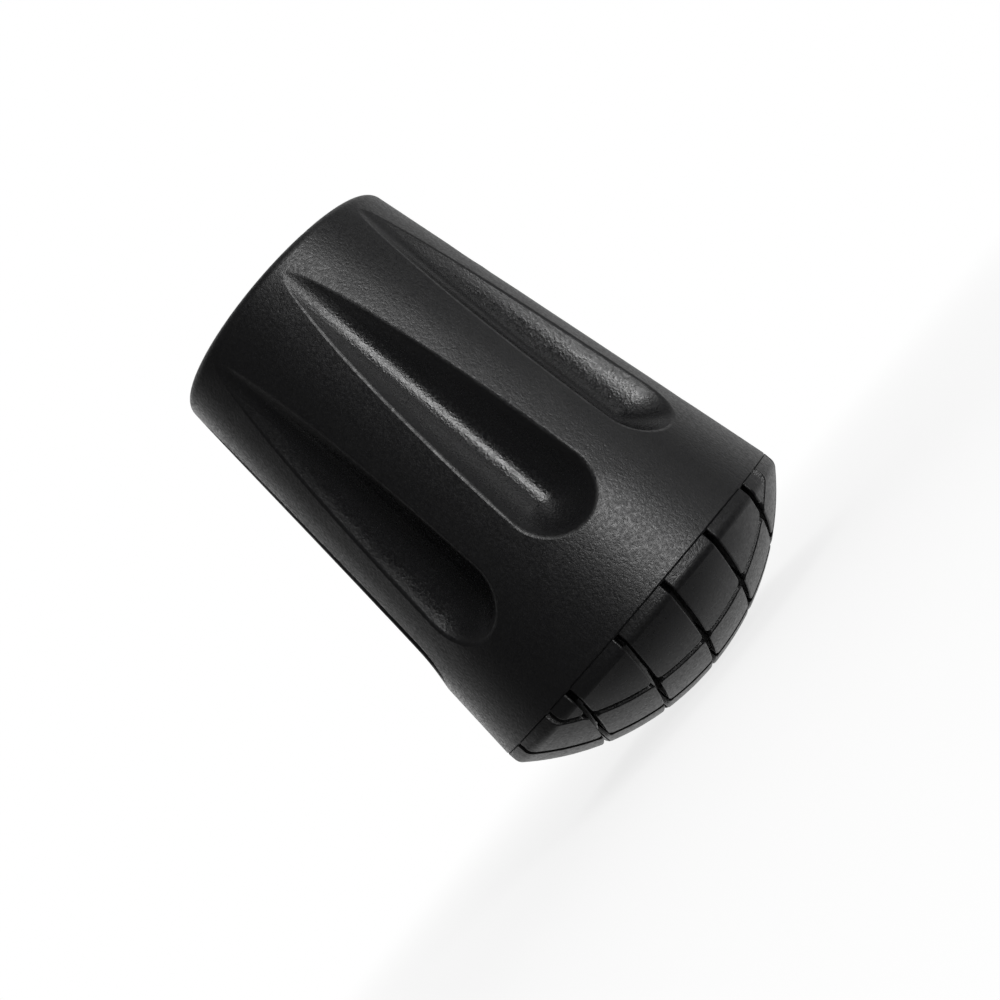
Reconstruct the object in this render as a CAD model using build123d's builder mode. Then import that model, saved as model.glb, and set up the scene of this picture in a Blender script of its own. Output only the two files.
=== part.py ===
"""Rubber trekking pole tip, moulded in one piece.

A tapered barrel with scooped flutes stands on a domed foot, whose tread is a square grid of
blocks.  A blind socket in the narrow end grips the pole's own tip.
Millimetres, +Z up along the socket, origin on the ground under the dome's crown.
"""

import os
from math import degrees

from build123d import *

# Foot: a plain band under the parting line, a rounded shoulder and a dome
foot_diameter = 34.0
band_height = 1.1
shoulder_radius = 1.0
dome_height = 7.3

# Tread: straight grooves spread evenly both ways, cut to one depth under the foot's skin
groove_count = 5
groove_width = 0.5
groove_depth = 1.5
tread_margin = 0.8
block_corner_radius = 0.45
block_edge_radius = 0.14

# Barrel: a straight taper from the parting line, which is a fine nick, up to the mouth
barrel_length = 40.8
mouth_diameter = 24.8
mouth_edge_radius = 0.9
parting_line_height = 0.16
parting_line_depth = 0.12

# Flutes: scoops with a round floor and bowed flanks, whose floor follows a wide arc and comes
# nearest to the axis a step outside the mouth, so that they run out below it
flute_count = 8
flute_floor_radius = 2.3
flute_floor_angle = 22.0
flute_flank_radius = 8.0
flute_flank_angle = 78.0
flute_arc_radius = 380.0
flute_arc_height = 32.0
flute_arc_step = 0.1
flute_end_height = 11.75
flute_edge_radius = 0.4

# Socket for the pole's tip
socket_diameter = 11.5
socket_depth = 34.0
socket_floor_radius = 1.5
socket_lip_radius = 0.6

# Cuts run this far past what they cut, and a point this near to a face lies on it
overrun = 1.0
touch = 0.001

# Places that follow from the sizes
foot_radius = foot_diameter / 2
mouth_radius = mouth_diameter / 2
dome_radius = (foot_radius**2 + dome_height**2) / (2 * dome_height)
parting_z = dome_height + band_height
mouth_z = parting_z + barrel_length
groove_pitch = (foot_diameter - 2 * tread_margin) / (groove_count + 1)
groove_run = foot_diameter + 2 * overrun
flute_place_radius = mouth_radius + flute_arc_step
flute_end_turn = degrees((flute_arc_height - flute_end_height) / flute_arc_radius)
flute_top_turn = degrees((barrel_length + overrun - flute_arc_height) / flute_arc_radius)

# Turned shapes start between two flutes, so that their seams stay clear of the cuts
seam_plane = Plane.XZ.rotated((0, 0, 180 / flute_count))

# Grooves of the tread as one cutter: crossing slots with eased corners, around a domed core
with BuildPart() as tread_cutter:
    with BuildSketch(Plane.XY.offset(-overrun)) as slots:
        with GridLocations(groove_pitch, groove_pitch, groove_count, 1):
            Rectangle(groove_width, groove_run)
        with GridLocations(groove_pitch, groove_pitch, 1, groove_count):
            Rectangle(groove_run, groove_width)
        crossings = slots.vertices().filter_by(lambda v: max(abs(v.X), abs(v.Y)) < foot_radius)
        fillet(crossings, block_corner_radius)
    extrude(amount=parting_z + 2 * overrun)
    with BuildSketch(seam_plane):
        with Locations((0, dome_radius + groove_depth)):
            Circle(dome_radius)
        with Locations((0, groove_depth)):
            core_size = (foot_radius - groove_depth, 2 * dome_radius)
            Rectangle(*core_size, align=(Align.MIN, Align.MIN), mode=Mode.INTERSECT)
    revolve(axis=Axis.Z, mode=Mode.SUBTRACT)

# Half of a flute's section, drawn outwards from the middle of its floor
with BuildSketch() as flute_half:
    with BuildLine():
        floor = CenterArc((flute_floor_radius, 0), flute_floor_radius, 180, -flute_floor_angle)
        bow = flute_floor_angle - flute_flank_angle
        flank = JernArc(floor @ 1, floor % 1, flute_flank_radius, bow)
        Polyline(flank @ 1, ((flank @ 1).X, 0), floor @ 0)
    make_face()

# One flute's cutter: the section follows the arc up, and is turned for the round lower end
with BuildPart() as flute_cutter:
    arc_centre = Pos(flute_arc_radius, 0, 0)
    end_plane = Plane(arc_centre * Rot(0, -flute_end_turn, 0) * arc_centre.inverse())
    with BuildSketch(end_plane):
        add(flute_half.sketch)
        mirror(about=Plane.XZ)
    arc_axis = Axis(arc_centre.position, (0, 1, 0))
    revolve(axis=arc_axis, revolution_arc=flute_end_turn + flute_top_turn)
    with BuildSketch(end_plane):
        add(flute_half.sketch)
    revolve(axis=Axis(end_plane.origin, end_plane.x_dir))

with BuildPart() as tip:
    # The foot, with the tread cut through its skin
    with BuildSketch(seam_plane) as foot_profile:
        with BuildLine():
            crown = TangentArc((0, 0), (foot_radius, dome_height), tangent=(1, 0))
            Polyline(crown @ 1, (foot_radius, parting_z), (0, parting_z), (0, 0))
        make_face()
        shoulder = foot_profile.vertices().sort_by_distance((foot_radius, dome_height))[0]
        fillet(shoulder, shoulder_radius)
    revolve(axis=Axis.Z)
    skin = tip.faces().sort_by(Axis.Z)[:-1]
    add(tread_cutter.part, mode=Mode.SUBTRACT)
    block_edges = tip.edges(Select.LAST).filter_by(
        lambda edge: min(face.distance_to(edge @ 0.5) for face in skin) < touch
    )
    fillet(block_edges.filter_by(Plane.XY, reverse=True), block_edge_radius)

    # The barrel, whose lower edge is broken to leave the parting line
    with BuildSketch(seam_plane):
        with BuildLine():
            Polyline(
                (0, parting_z),
                (foot_radius - parting_line_depth, parting_z),
                (foot_radius, parting_z + parting_line_height),
                (mouth_radius, mouth_z),
                (0, mouth_z),
                close=True,
            )
        make_face()
    revolve(axis=Axis.Z)
    fillet(tip.edges().sort_by(Axis.Z)[-1], mouth_edge_radius)

    # The flutes, with their rims eased
    with Locations((0, 0, parting_z + flute_arc_height)):
        with PolarLocations(flute_place_radius, flute_count):
            add(flute_cutter.part, mode=Mode.SUBTRACT)
    flute_rims = tip.edges(Select.LAST).filter_by(GeomType.CIRCLE, reverse=True)
    fillet(flute_rims, flute_edge_radius)

    # The socket, with a rounded floor and an eased lip
    with Locations((0, 0, mouth_z)):
        Hole(socket_diameter / 2, socket_depth)
    socket_ends = tip.edges(Select.LAST).filter_by(GeomType.CIRCLE).sort_by(Axis.Z)
    fillet(socket_ends[0], socket_floor_radius)
    fillet(socket_ends[-1], socket_lip_radius)

tip.part.label = "rubber_tip"
os.makedirs("parts", exist_ok=True)
export_step(tip.part, "parts/rubber_tip.step")
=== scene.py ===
import math

import bpy
from mathutils import Matrix, Vector

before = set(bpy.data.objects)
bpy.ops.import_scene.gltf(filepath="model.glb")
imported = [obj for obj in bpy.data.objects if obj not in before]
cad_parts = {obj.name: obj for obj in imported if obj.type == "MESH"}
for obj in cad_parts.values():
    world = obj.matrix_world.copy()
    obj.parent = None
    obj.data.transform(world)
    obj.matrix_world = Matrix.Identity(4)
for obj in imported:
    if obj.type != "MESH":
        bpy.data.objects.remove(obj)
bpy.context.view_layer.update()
bpy.ops.object.select_all(action="DESELECT")


# The tip is one moulding in black rubber, pressed in a two-part steel mould whose halves meet at
# the top of the foot.  The barrel's half was spark-eroded, which leaves a fine sandy grain, but
# its flute ribs and socket pin were rubbed smoother.  The tread's half was milled and polished.
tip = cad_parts["rubber_tip"]
mm = 0.001

# The barrel's cone, as its radius at the ground and its taper, and how far under that cone, and
# from what height up, the rubbed finish starts and is complete
cone_radius, cone_taper = 17.95 * mm, 0.1127
flute_start, flute_full = 0.3 * mm, 1.0 * mm
flute_low = 10.0 * mm

# The grain at its real size, the finer pits in it, and its fade to a trace on the tread
grain_size, grain_depth = 0.27 * mm, 0.034 * mm
grain_detail, grain_roughness = 2.0, 0.6
pit_size, pit_detail, pit_share = 0.14 * mm, 1.0, 0.4
tread_top = 7.3 * mm
fade_below, fade_above = 0.5 * mm, 0.3 * mm
tread_grain_share = 0.12

# The bloom is a faint grey cloud of wax on the black
bloom_size, bloom_detail = 9.0 * mm, 3.0
black, bloomed_black = "#0f0f10", "#151516"

# Satin of each finish, and how much the single grains vary about it
tread_satin, barrel_satin = 0.34, 0.43
flute_shine = 0.165
speck_low, speck_high, speck_satin = 0.3, 0.7, 0.11
rubber_ior = 1.5


def linear(hex_code, alpha=1.0):
    """An sRGB hex colour as the linear values that a shader takes."""
    parts = [int(hex_code[i : i + 2], 16) / 255 for i in (1, 3, 5)]
    return [c / 12.92 if c <= 0.04045 else ((c + 0.055) / 1.055) ** 2.4 for c in parts] + [alpha]


def add_node(tree, kind, inputs=None, **settings):
    """One node with its settings; an input given as a socket is linked, and any other is set."""
    node = tree.nodes.new(kind)
    for name, value in settings.items():
        setattr(node, name, value)
    for name, value in (inputs or {}).items():
        if isinstance(value, bpy.types.NodeSocket):
            tree.links.new(value, node.inputs[name])
        else:
            node.inputs[name].default_value = value
    return node


# Moulded rubber is a deep neutral black with a satin skin: its grain breaks a highlight into
# sparkling specks, a faint bloom clouds the black, and the flutes shine more than the barrel.
rubber = bpy.data.materials.new("black_rubber_moulded_grain")
rubber.use_nodes = True
tree = rubber.node_tree
tree.nodes.clear()
place = add_node(tree, "ShaderNodeTexCoord").outputs["Object"]
height = add_node(tree, "ShaderNodeSeparateXYZ", {"Vector": place}).outputs["Z"]
grained = add_node(
    tree,
    "ShaderNodeMapRange",
    {
        "Value": height,
        "From Min": tread_top - fade_below,
        "From Max": tread_top + fade_above,
        "To Min": tread_grain_share,
        "To Max": 1.0,
    },
    interpolation_type="SMOOTHSTEP",
).outputs["Result"]

# Depth under the cone, which finds the flutes
flat = add_node(
    tree, "ShaderNodeVectorMath", {0: place, 1: (1, 1, 0)}, operation="MULTIPLY"
).outputs["Vector"]
radius = add_node(tree, "ShaderNodeVectorMath", {0: flat}, operation="LENGTH").outputs["Value"]
cone = add_node(
    tree, "ShaderNodeMath", {0: height, 1: -cone_taper, 2: cone_radius}, operation="MULTIPLY_ADD"
).outputs[0]
depth = add_node(tree, "ShaderNodeMath", {0: cone, 1: radius}, operation="SUBTRACT").outputs[0]
scooped = add_node(
    tree,
    "ShaderNodeMapRange",
    {"Value": depth, "From Min": flute_start, "From Max": flute_full},
    interpolation_type="SMOOTHSTEP",
).outputs["Result"]
above = add_node(
    tree, "ShaderNodeMath", {0: height, 1: flute_low}, operation="GREATER_THAN"
).outputs[0]
polished = add_node(tree, "ShaderNodeMath", {0: scooped, 1: above}, operation="MULTIPLY").outputs[0]

# Grain and pits as relief
sand = add_node(
    tree,
    "ShaderNodeTexNoise",
    {
        "Vector": place,
        "Scale": 1 / grain_size,
        "Detail": grain_detail,
        "Roughness": grain_roughness,
    },
).outputs["Fac"]
pits = add_node(
    tree, "ShaderNodeTexNoise", {"Vector": place, "Scale": 1 / pit_size, "Detail": pit_detail}
).outputs["Fac"]
relief = add_node(
    tree, "ShaderNodeMath", {0: pits, 1: pit_share, 2: sand}, operation="MULTIPLY_ADD"
).outputs[0]
bump = add_node(
    tree, "ShaderNodeBump", {"Strength": grained, "Distance": grain_depth, "Height": relief}
).outputs["Normal"]

# The black with its bloom
bloom = add_node(
    tree, "ShaderNodeTexNoise", {"Vector": place, "Scale": 1 / bloom_size, "Detail": bloom_detail}
).outputs["Fac"]
colour = add_node(
    tree,
    "ShaderNodeMix",
    {"Factor": bloom, "A": linear(black), "B": linear(bloomed_black)},
    data_type="RGBA",
).outputs["Result"]

# The satin: each finish's own, with a spread from grain to grain
satin = add_node(
    tree, "ShaderNodeMapRange", {"Value": grained, "To Min": tread_satin, "To Max": barrel_satin}
).outputs["Result"]
rubbed = add_node(
    tree, "ShaderNodeMath", {0: polished, 1: -flute_shine, 2: satin}, operation="MULTIPLY_ADD"
).outputs[0]
specks = add_node(
    tree,
    "ShaderNodeMapRange",
    {
        "Value": sand,
        "From Min": speck_low,
        "From Max": speck_high,
        "To Min": -speck_satin,
        "To Max": speck_satin,
    },
).outputs["Result"]
gloss = add_node(tree, "ShaderNodeMath", {0: rubbed, 1: specks}, operation="ADD").outputs[0]
skin = add_node(
    tree,
    "ShaderNodeBsdfPrincipled",
    {"Base Color": colour, "Roughness": gloss, "IOR": rubber_ior, "Normal": bump},
)
add_node(tree, "ShaderNodeOutputMaterial", {"Surface": skin.outputs["BSDF"]})
tip.data.materials.clear()
tip.data.materials.append(rubber)


# The floor is a sweep of white card, laid flat under the tip.  It looks plain white to the camera
# from a hand's width away, and nearer it keeps some of its matt shade and of the tip's shadow.
floor_span = 4.0
glow_near, glow_far = 0.02, 0.16
near_glow_share = 0.8
card_white = "#f2f2f2"
bpy.ops.mesh.primitive_plane_add(size=floor_span, location=(0, 0, 0))
floor = bpy.context.object
floor.name = "floor"

# Matt white card is even and soft, with no shine
card = bpy.data.materials.new("white_card")
card.use_nodes = True
tree = card.node_tree
tree.nodes.clear()
ray = add_node(tree, "ShaderNodeLightPath")
spot = add_node(tree, "ShaderNodeTexCoord").outputs["Object"]
reach = add_node(tree, "ShaderNodeVectorMath", {0: spot}, operation="LENGTH").outputs["Value"]
fade = add_node(
    tree,
    "ShaderNodeMapRange",
    {
        "Value": reach,
        "From Min": glow_near,
        "From Max": glow_far,
        "To Min": near_glow_share,
        "To Max": 1.0,
    },
    interpolation_type="SMOOTHSTEP",
).outputs["Result"]
seen = add_node(
    tree, "ShaderNodeMath", {0: ray.outputs["Is Camera Ray"], 1: fade}, operation="MULTIPLY"
).outputs[0]
matt = add_node(tree, "ShaderNodeBsdfDiffuse", {"Color": linear(card_white)}).outputs[0]
glow = add_node(
    tree, "ShaderNodeEmission", {"Color": linear("#ffffff"), "Strength": 1.0}
).outputs[0]
mix = add_node(tree, "ShaderNodeMixShader", {"Fac": seen, 1: matt, 2: glow})
add_node(tree, "ShaderNodeOutputMaterial", {"Surface": mix.outputs[0]})
floor.data.materials.append(card)
floor.visible_glossy = False


# Studio light: a tall strip on the camera's right draws the bright line down barrel and flutes.
# A high panel and a low one soften that side, a strip behind draws the left rim, and a wide
# panel overhead lights the floor and stays out of reflections.
camera_turn = 8.2
turn = math.radians(camera_turn)
aim_height = 0.025


def hang_panel(name, azimuth, elevation, distance, width, tall, radiance):
    """An area light facing the tip; azimuth runs in degrees from the camera to its right."""
    aside, up = math.radians(azimuth) - turn, math.radians(elevation)
    level = math.cos(up)
    away = Vector((math.sin(aside) * level, -math.cos(aside) * level, math.sin(up)))
    lamp = bpy.data.lights.new(name, "AREA")
    lamp.shape = "RECTANGLE"
    lamp.size, lamp.size_y = width, tall
    lamp.energy = radiance * math.pi * width * tall
    holder = bpy.data.objects.new(name, lamp)
    holder.location = Vector((0, 0, aim_height)) + away * distance
    holder.rotation_euler = away.to_track_quat("Z", "Y").to_euler()
    holder.visible_camera = False
    bpy.context.scene.collection.objects.link(holder)
    return holder


hang_panel("key_strip", 30.5, 14, distance=0.40, width=0.13, tall=0.22, radiance=11.5)
hang_panel("high_key", 42, 42, distance=0.50, width=0.30, tall=0.24, radiance=0.7)
hang_panel("side_fill", 72, 8, distance=0.40, width=0.10, tall=0.14, radiance=1.1)
hang_panel("back_strip", -155, 12, distance=0.45, width=0.12, tall=0.22, radiance=1.2)
overhead = hang_panel(
    "top_panel", camera_turn, 89, distance=0.60, width=0.80, tall=0.80, radiance=0.9
)
overhead.visible_glossy = False


# The backdrop is a grey sweep behind the tip, brightest a little to the right, and the room on
# the camera's side is dark.  To the camera itself it is plain white.
brightest = math.radians(23) - turn
backdrop_full = 0.75
room_level, backdrop_level = 0.04, 0.65
world = bpy.data.worlds.new("white_studio")
bpy.context.scene.world = world
world.use_nodes = True
tree = world.node_tree
tree.nodes.clear()
ray = add_node(tree, "ShaderNodeLightPath")
look = add_node(tree, "ShaderNodeTexCoord").outputs["Generated"]
behind = add_node(
    tree,
    "ShaderNodeVectorMath",
    {0: look, 1: (math.sin(brightest), math.cos(brightest), 0)},
    operation="DOT_PRODUCT",
).outputs["Value"]
backdrop = add_node(
    tree,
    "ShaderNodeMapRange",
    {
        "Value": behind,
        "From Min": 0.0,
        "From Max": backdrop_full,
        "To Min": room_level,
        "To Max": backdrop_level,
    },
    interpolation_type="SMOOTHSTEP",
).outputs["Result"]
strength = add_node(
    tree, "ShaderNodeMath", {0: backdrop, 1: ray.outputs["Is Camera Ray"]}, operation="MAXIMUM"
).outputs[0]
sky = add_node(
    tree, "ShaderNodeBackground", {"Color": linear("#ffffff"), "Strength": strength}
)
add_node(tree, "ShaderNodeOutputWorld", {"Surface": sky.outputs[0]})


# Camera: close to the floor and tipped up a little, and rolled so that the tip leans as it does
# in the photograph.
camera = bpy.data.cameras.new("camera")
camera.sensor_width = 36.0
camera.lens = 63.9
camera.clip_start = 10 * mm
eye_distance, eye_height, eye_aside = 154.5 * mm, 12.5 * mm, -0.83 * mm
eye_tip, eye_roll = math.radians(90 + 3.98), math.radians(-49.557)
stand = bpy.data.objects.new("camera", camera)
stand.matrix_world = (
    Matrix.Rotation(-turn, 4, "Z")
    @ Matrix.Translation((eye_aside, -eye_distance, eye_height))
    @ Matrix.Rotation(eye_tip, 4, "X")
    @ Matrix.Rotation(eye_roll, 4, "Z")
)
bpy.context.scene.collection.objects.link(stand)
bpy.context.scene.camera = stand
bpy.context.scene.view_settings.view_transform = "Standard"
